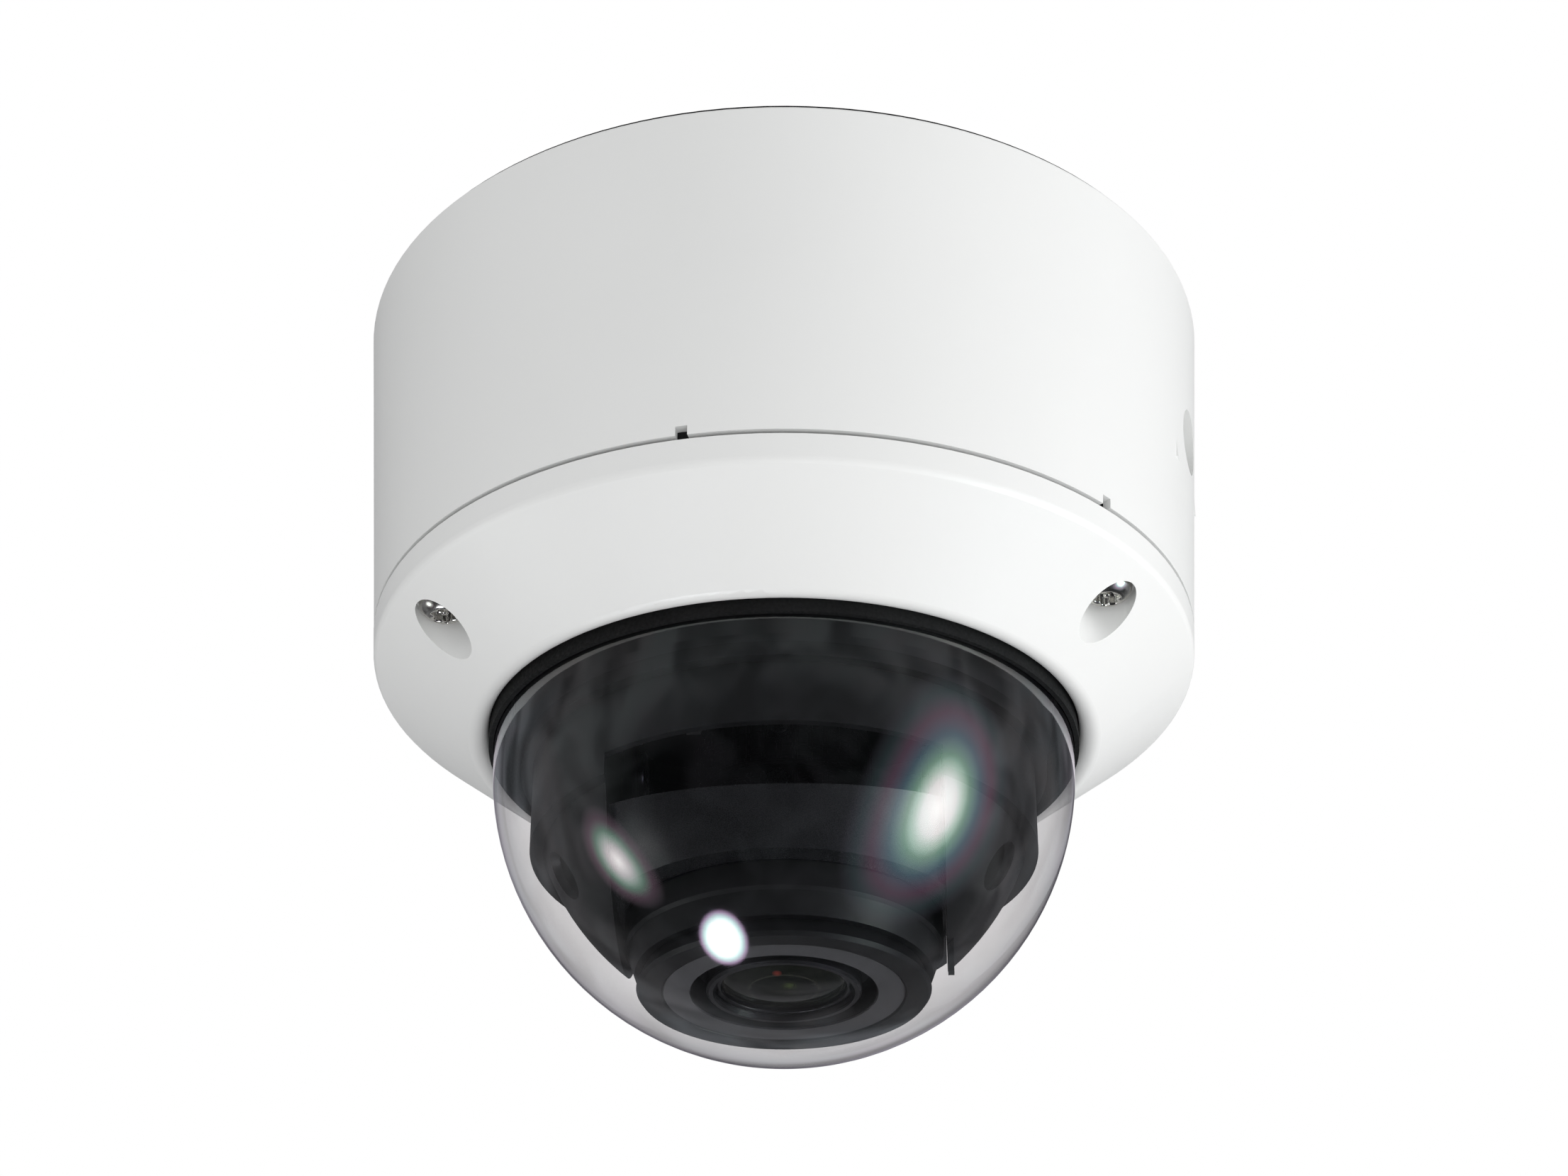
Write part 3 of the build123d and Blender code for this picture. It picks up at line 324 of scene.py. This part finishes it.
def felt():
    """Flocked light seal around the lens."""
    m = Mat("flock_grey")
    fibre = m.noise(6200.0, 4.0, 0.7)
    m.color(m.ramp(fibre, (0.3, (0.014, 0.0145, 0.019)), (0.7, (0.028, 0.029, 0.037))))
    m.set("Sheen Weight", 0.12)
    m.rough(m.span(fibre, 0.3, 0.7, 0.8, 1.0))
    m.bump((fibre, 0.4, 0.00003))
    return m.mat


def circuit_board():
    """Solder mask over copper: lighter traces, a weave showing through, tinned vias."""
    m = Mat("solder_mask")
    traces = m.add("ShaderNodeTexBrick")
    m.link(m.coords, traces.inputs["Vector"])
    traces.inputs["Scale"].default_value = 240.0
    traces.inputs["Mortar Size"].default_value = 0.08
    for key, tone in (("Color1", 0.0), ("Color2", 0.25), ("Mortar", 1.0)):
        traces.inputs[key].default_value = (tone, tone, tone, 1.0)
    via = m.ramp(m.voronoi(330.0), (0.10, 1.0), (0.14, 0.0))
    mask = m.mix(traces.outputs["Color"], (0.004, 0.050, 0.026), (0.010, 0.105, 0.050))
    m.color(m.mix(via, mask, (0.55, 0.50, 0.38)))
    m.rough(m.span(m.noise(800.0), 0.3, 0.7, 0.22, 0.40))
    m.bump((traces.outputs["Color"], 0.3, 0.00003))
    return m.mat


def plain_moulding(name, colour, rough):
    """Lightly grained moulding in one colour, a little uneven."""
    m = Mat(name)
    grain = m.noise(2400.0, 3.0)
    m.color(m.ramp(m.noise(80.0), (0.3, tuple(c * 0.82 for c in colour)), (0.75, colour)))
    m.rough(m.span(grain, 0.3, 0.7, rough * 0.8, rough * 1.2))
    m.bump((grain, 0.25, 0.00003))
    return m.mat


def sensor_face():
    """Image sensor under its cover glass; its diffraction colours are painted into the base colour as
    a painted reflection.
    """
    m = Mat("sensor_cell", rough=0.08, coat_weight=1.0)
    # Painted reflection: noise bands of teal, violet and green stand for light split by the sensor
    # surface.
    painted_diffraction_bands = m.noise(700.0, 1.0, coords=m.stretched(1.0, 1.0, 0.2))
    m.color(m.ramp(painted_diffraction_bands, (0.3, (0.02, 0.05, 0.06)), (0.5, (0.06, 0.03, 0.08)),
                   (0.7, (0.03, 0.09, 0.07))))
    return m.mat


def filter_glass():
    """Infrared-cut filter, cyan to violet by coating thickness."""
    m = Mat("filter_glass", rough=0.05, coat_weight=1.0)
    m.color(m.ramp(m.noise(90.0), (0.3, (0.16, 0.36, 0.40)), (0.7, (0.24, 0.20, 0.42))))
    return m.mat


SLOTS = {
    "white_paint": white_paint,
    "plate_steel": lambda: steel("zinc_plate", (0.56, 0.57, 0.60), 0.34, (1.0, 0.08, 1.0)),
    "screw_steel": lambda: steel("polished_steel", (0.60, 0.585, 0.555), 0.20, (1.0, 1.0, 1.0)),
    "black_rubber": black_rubber,
    "clear_dome": clear_bubble,
    "black_plastic": black_plastic,
    "gloss_black": gloss_black,
    "anodised_black": anodised_black,
    "lens_glass": lens_glass,
    "shade_felt": felt,
    "circuit_board": circuit_board,
    "brass": lambda: steel("turned_brass", (0.78, 0.58, 0.26), 0.28, (1.0, 1.0, 6.0)),
    "shield_steel": lambda: steel("tinned_shield", (0.66, 0.66, 0.68), 0.26, (0.1, 1.0, 1.0)),
    "chip_black": lambda: plain_moulding("epoxy_black", (0.030, 0.030, 0.034), 0.5),
    "heat_aluminium": lambda: steel("extruded_aluminium", (0.62, 0.63, 0.65), 0.38, (1.0, 0.05, 1.0)),
    "grey_pad": lambda: plain_moulding("silicone_grey", (0.34, 0.40, 0.47), 0.7),
    "terminal_green": lambda: plain_moulding("terminal_green", (0.03, 0.26, 0.09), 0.4),
    "capacitor_skin": lambda: plain_moulding("sleeve_navy", (0.03, 0.035, 0.08), 0.25),
    "sensor_face": sensor_face,
    "filter_glass": filter_glass,
    "button_white": lambda: plain_moulding("button_white", (0.70, 0.70, 0.68), 0.4),
}
MATERIAL = {slot: make() for slot, make in SLOTS.items()}


def dress_cad_nodes():
    """Every carried-over CAD node takes the material of its record slot."""
    for part in frame["record"]["subparts"]:
        mesh = NODES[part["node"]].data
        mesh.materials.clear()
        mesh.materials.append(MATERIAL[part["material_slot"]])
        for polygon in mesh.polygons:
            polygon.use_smooth = True


dress_cad_nodes()

# ---------------------------------------------------------------- mesh helpers


def finish_piece(bm, name, slot, body, replaces=()):
    """Turn a bmesh into a named piece that rides on a body."""
    mesh = bpy.data.meshes.new(name)
    bmesh.ops.recalc_face_normals(bm, faces=bm.faces)
    bm.to_mesh(mesh)
    bm.free()
    obj = bpy.data.objects.new(name, mesh)
    bpy.context.scene.collection.objects.link(obj)
    mesh.materials.append(MATERIAL[slot])
    for polygon in mesh.polygons:
        polygon.use_smooth = True
    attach(obj, body)
    if replaces:
        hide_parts(*replaces)


# ---------------------------------------------------------------- fine pieces

SIDES = 96
PITCH = 0.7
COVER_SCREW = {"head_r": 4.25, "head_height": 2.8, "shank_r": 1.95, "shank_length": 17.0,
               "drive_r": 2.15, "pin_r": 0.6}
COVER_SCREW_CIRCLE = 62.0
COVER_SCREW_SEAT_Z = -66.3
COVER_SCREW_BEARINGS = (-30, 90, 210)
LOCK_SCREW = {"head_r": 4.1, "head_height": 2.2, "shank_r": 1.65, "shank_length": 8.7,
              "drive_r": 2.0, "pin_r": 0.55}
LOCK_BEARING = -12.0
LOCK_SEAT_R = 68.4
LOCK_Z = -29.3


def loft(bm, matrix, outlines, open_ends=False):
    """Skin between rings of (radius, height) in mm; a radius may be a function of the angle."""
    rings = []
    for radius, height in outlines:
        ring = []
        for i in range(SIDES):
            angle = 2 * pi * i / SIDES
            r = radius(angle) if callable(radius) else radius
            point = Vector((r * cos(angle) * MM, r * sin(angle) * MM, height * MM))
            ring.append(bm.verts.new(matrix @ point))
        rings.append(ring)
    if open_ends:
        rings.append(rings[0])
    for low, high in zip(rings, rings[1:]):
        for i in range(SIDES):
            j = (i + 1) % SIDES
            bm.faces.new((low[i], low[j], high[j], high[i]))
    if not open_ends:
        bm.faces.new(reversed(rings[0]))
        bm.faces.new(rings[-1])


def six_lobes(radius):
    """Outline of a six-lobe drive: radius by angle."""
    return lambda angle: radius * (0.865 + 0.135 * cos(6 * angle))


def tamper_screw(bm, matrix, head_r, head_height, shank_r, shank_length, drive_r, pin_r):
    """Button-head screw: a six-lobe recess around a centre pin, and a threaded shank. In mm."""
    rings = [(shank_r - 0.35, -shank_length), (shank_r - 0.05, -shank_length + 0.4)]
    turns = int((shank_length - 2.0) / PITCH)
    for i in range(turns):
        z = -shank_length + 0.6 + i * PITCH
        rings += [(shank_r - 0.22, z), (shank_r, z + 0.3), (shank_r, z + 0.4)]
    rings += [(shank_r, 0.0), (head_r - 0.12, 0.0), (head_r, 0.12), (head_r, 0.45)]
    shoulder = acos((drive_r + 0.42) / head_r)
    for i in range(1, 9):
        a = shoulder * i / 8
        rings.append((head_r * cos(a), 0.45 + (head_height - 0.45) * sin(a) / sin(shoulder)))
    floor_z = head_height * 0.46
    rings += [
        (drive_r + 0.22, head_height),
        (six_lobes(drive_r + 0.06), head_height - 0.06),
        (six_lobes(drive_r - 0.04), head_height - 0.25),
        (six_lobes(drive_r - 0.10), floor_z + 0.1),
        (six_lobes(drive_r - 0.25), floor_z),
        (pin_r + 0.08, floor_z),
        (pin_r, floor_z + 0.1),
        (pin_r, head_height * 0.80),
        (pin_r - 0.15, head_height * 0.86),
    ]
    loft(bm, matrix, rings)


def frame_at(place, outward):
    """Matrix whose local z points outwards from a place given in millimetres."""
    turn = Vector(outward).to_track_quat("Z", "Y").to_matrix().to_4x4()
    return Matrix.Translation(Vector(place) * MM) @ turn


def around(radius, bearing, z):
    """Point from a radius, a bearing in degrees and a height."""
    return (radius * cos(radians(bearing)), radius * sin(radians(bearing)), z)


def make_screws():
    """Three cover screws from below, each turned a different way, and the side screw."""
    bm = bmesh.new()
    for i, bearing in enumerate(COVER_SCREW_BEARINGS):
        spin = Matrix.Rotation(radians(17 + 40 * i), 4, "Z")
        seat = around(COVER_SCREW_CIRCLE, bearing, COVER_SCREW_SEAT_Z)
        tamper_screw(bm, frame_at(seat, (0, 0, -1)) @ spin, **COVER_SCREW)
    finish_piece(bm, "cover_screws_fine", "screw_steel", "base", replaces=("cover_screws",))
    bm = bmesh.new()
    seat = around(LOCK_SEAT_R, LOCK_BEARING, LOCK_Z)
    tamper_screw(bm, frame_at(seat, around(1.0, LOCK_BEARING, 0.0)), **LOCK_SCREW)
    finish_piece(bm, "lock_screw_fine", "screw_steel", "base", replaces=("lock_screw",))


def make_lens_details():
    """Retaining ring around the front element, with two spanner slots."""
    bm = bmesh.new()

    def slotted(radius):
        return lambda angle: radius if abs(sin(angle)) > 0.07 else radius - 0.35

    loft(bm, Matrix.Identity(4), [
        (10.15, -121.75), (10.2, -122.15), (10.35, -122.3), (slotted(10.9), -122.3),
        (slotted(11.1), -122.1), (slotted(11.1), -121.8), (10.7, -121.72),
    ], open_ends=True)
    finish_piece(bm, "lens_retainer", "anodised_black", "roll")


make_screws()
make_lens_details()

# ---------------------------------------------------------------- studio


def area(name, place, aim, size, power):
    """White soft box that lights the object but shows in no reflection."""
    light = bpy.data.lights.new(name, "AREA")
    light.shape = "RECTANGLE"
    light.size, light.size_y = size
    light.energy = power
    obj = bpy.data.objects.new(name, light)
    bpy.context.scene.collection.objects.link(obj)
    obj.location = place
    obj.rotation_euler = (Vector(aim) - Vector(place)).to_track_quat("-Z", "Y").to_euler()
    obj.visible_glossy = False
    obj.visible_camera = False
    obj.visible_transmission = False


VIEW_BEARING = radians(3.0)
FILL_SKY = 0.80
GLOSS_SKY = 0.18
GLOSS_CORNER = 0.042
CORNER_CLIMB = -60.0
CORNER_EDGES = (88, 62)
DRAPES = (("Scale", 2.4), ("Detail", 1.5), ("Distortion", 1.2))


def studio():
    """White surroundings; in reflections they are dim, uneven and darkest below the viewer."""
    world = bpy.data.worlds.new("studio")
    bpy.context.scene.world = world
    world.use_nodes = True
    tree = world.node_tree
    tree.nodes.clear()
    out = tree.nodes.new("ShaderNodeOutputWorld")
    rays = tree.nodes.new("ShaderNodeLightPath")

    def sky(tone, strength):
        node = tree.nodes.new("ShaderNodeBackground")
        node.inputs[0].default_value = (*tone, 1.0)
        node.inputs[1].default_value = strength
        return node

    def pick(choice, otherwise, chosen):
        node = tree.nodes.new("ShaderNodeMixShader")
        tree.links.new(choice, node.inputs[0])
        tree.links.new(otherwise.outputs[0], node.inputs[1])
        tree.links.new(chosen.outputs[0], node.inputs[2])
        return node

    def between(value, *ends):
        node = tree.nodes.new("ShaderNodeMapRange")
        tree.links.new(value, node.inputs["Value"])
        for key, number in zip(("From Min", "From Max", "To Min", "To Max"), ends):
            node.inputs[key].default_value = number
        return node

    way = tree.nodes.new("ShaderNodeTexCoord").outputs["Generated"]
    front = tree.nodes.new("ShaderNodeVectorMath")
    front.operation = "DOT_PRODUCT"
    tree.links.new(way, front.inputs[0])
    front.inputs[1].default_value = toward(0.0, CORNER_CLIMB)
    outer, inner = (cos(radians(edge)) for edge in CORNER_EDGES)
    fade = between(front.outputs["Value"], outer, inner)
    fade.interpolation_type = "SMOOTHSTEP"
    drapes = tree.nodes.new("ShaderNodeTexNoise")
    tree.links.new(way, drapes.inputs["Vector"])
    for key, number in DRAPES:
        drapes.inputs[key].default_value = number
    room = sky((0.96, 0.98, 1.03), GLOSS_SKY)
    corner = sky((0.93, 0.965, 1.05), GLOSS_CORNER)
    for part, tone in ((room, GLOSS_SKY), (corner, GLOSS_CORNER)):
        waves = between(drapes.outputs["Fac"], 0.38, 0.62, 0.5 * tone, 1.6 * tone)
        tree.links.new(waves.outputs["Result"], part.inputs[1])
    mirrored = pick(fade.outputs["Result"], room, corner)
    lit = pick(rays.outputs["Is Glossy Ray"], sky(WHITE, FILL_SKY), mirrored)
    seen = pick(rays.outputs["Is Camera Ray"], lit, sky(WHITE, 1.0))
    tree.links.new(seen.outputs[0], out.inputs[0])


def toward(bearing, climb):
    """Unit vector from the bubble: bearing 0 is the viewer's, positive to their right."""
    turn = radians(bearing)
    rise = radians(climb)
    flat = Vector((sin(turn) * cos(rise), -cos(turn) * cos(rise), sin(rise)))
    return Matrix.Rotation(VIEW_BEARING, 3, "Z") @ flat


def glow_card(name, bearing, climb, reach, size, strength, *stops):
    """Soft card seen only in reflections; stops (place, colour, cover) run from its middle."""
    bm = bmesh.new()
    bmesh.ops.create_grid(bm, x_segments=1, y_segments=1, size=0.5)
    mesh = bpy.data.meshes.new(name)
    bm.to_mesh(mesh)
    bm.free()
    obj = bpy.data.objects.new(name, mesh)
    bpy.context.scene.collection.objects.link(obj)
    way = toward(bearing, climb)
    obj.location = Vector(BUBBLE_CENTRE) + way * reach
    obj.rotation_euler = way.to_track_quat("Z", "Y").to_euler()
    obj.scale = (size[0], size[1], 1.0)
    for kind in ("camera", "diffuse", "transmission", "shadow"):
        setattr(obj, "visible_" + kind, False)
    m = Mat(name + "_glow")
    m.tree.nodes.remove(m.bsdf)
    radial = m.math("MULTIPLY", m.distance((0.0, 0.0, 0.0)), 2.0)
    shine = m.add("ShaderNodeEmission")
    hue = m.ramp(radial, *((place, colour) for place, colour, _ in stops))
    m.link(hue, shine.inputs["Color"])
    shine.inputs["Strength"].default_value = strength
    nothing = m.add("ShaderNodeBsdfTransparent")
    blend = m.add("ShaderNodeMixShader")
    cover = m.ramp(radial, *((place, share) for place, _, share in stops))
    m.link(cover, blend.inputs[0])
    m.link(nothing.outputs[0], blend.inputs[1])
    m.link(shine.outputs[0], blend.inputs[2])
    m.link(blend.outputs[0], m.out.inputs["Surface"])
    mesh.materials.append(m.mat)


CAMERA_REACH = 0.4706
CAMERA_DROP = 0.3226
CAMERA_PITCH = radians(30.33)
CAMERA_LENS = 72.03
CAMERA_SENSOR = 36.0
FLOOR_Z = -0.75
FLOOR_HALF = 3.0


def camera():
    """In front of the object and below it, looking up."""
    data = bpy.data.cameras.new("camera")
    data.lens = CAMERA_LENS
    data.sensor_width = CAMERA_SENSOR
    obj = bpy.data.objects.new("camera", data)
    bpy.context.scene.collection.objects.link(obj)
    flat = (CAMERA_REACH * sin(VIEW_BEARING), -CAMERA_REACH * cos(VIEW_BEARING))
    obj.location = (*flat, -CAMERA_DROP)
    obj.rotation_euler = (pi / 2 + CAMERA_PITCH, 0, VIEW_BEARING)
    data.clip_start, data.clip_end = 0.01, 50.0
    bpy.context.scene.camera = obj


def floor():
    """Plain pale floor, well below the hanging camera."""
    bm = bmesh.new()
    bmesh.ops.create_grid(bm, x_segments=2, y_segments=2, size=FLOOR_HALF)
    mesh = bpy.data.meshes.new("floor")
    bm.to_mesh(mesh)
    bm.free()
    obj = bpy.data.objects.new("floor", mesh)
    bpy.context.scene.collection.objects.link(obj)
    obj.location = (0, 0, FLOOR_Z)
    obj.visible_glossy = False
    m = Mat("floor_pale", color=(0.86, 0.86, 0.86), rough=0.8)
    mesh.materials.append(m.mat)


studio()
camera()
floor()
area("key", toward(82, -12) * 1.1, (0, 0, -0.06), (0.5, 0.7), 5.2)
area("low", (0.24, -0.55, -0.70), (0, 0, -0.08), (0.6, 0.5), 2.3)
glow_card("soft_right", 68, -22, 0.8, (1.06, 1.60), 11.0,
          (0.0, WHITE, 1.0), (0.17, (1.0, 0.98, 0.99), 0.72), (0.32, (0.60, 1.0, 0.78), 0.22),
          (0.46, (0.50, 0.75, 1.0), 0.09), (0.62, (1.0, 0.52, 0.82), 0.055),
          (0.80, (0.6, 0.9, 1.0), 0.02), (1.0, (0.9, 0.7, 1.0), 0.0))
glow_card("soft_left", -87, -31, 0.8, (0.34, 0.56), 8.6,
          (0.0, WHITE, 0.95), (0.28, (1.0, 0.95, 1.0), 0.50), (0.55, (0.60, 1.0, 0.80), 0.16),
          (0.75, (1.0, 0.60, 0.85), 0.06), (1.0, (1.0, 0.8, 0.95), 0.0))
glow_card("spot", -98, -71, 0.6, (0.26, 0.17), 13.0,
          (0.0, WHITE, 1.0), (0.60, (0.97, 1.0, 1.0), 1.0), (0.78, (0.75, 0.98, 1.0), 0.55),
          (0.90, (0.95, 0.62, 1.0), 0.28), (1.0, (0.9, 0.6, 1.0), 0.0))
bpy.context.scene.view_settings.view_transform = "Standard"
bpy.context.scene.view_settings.look = "None"
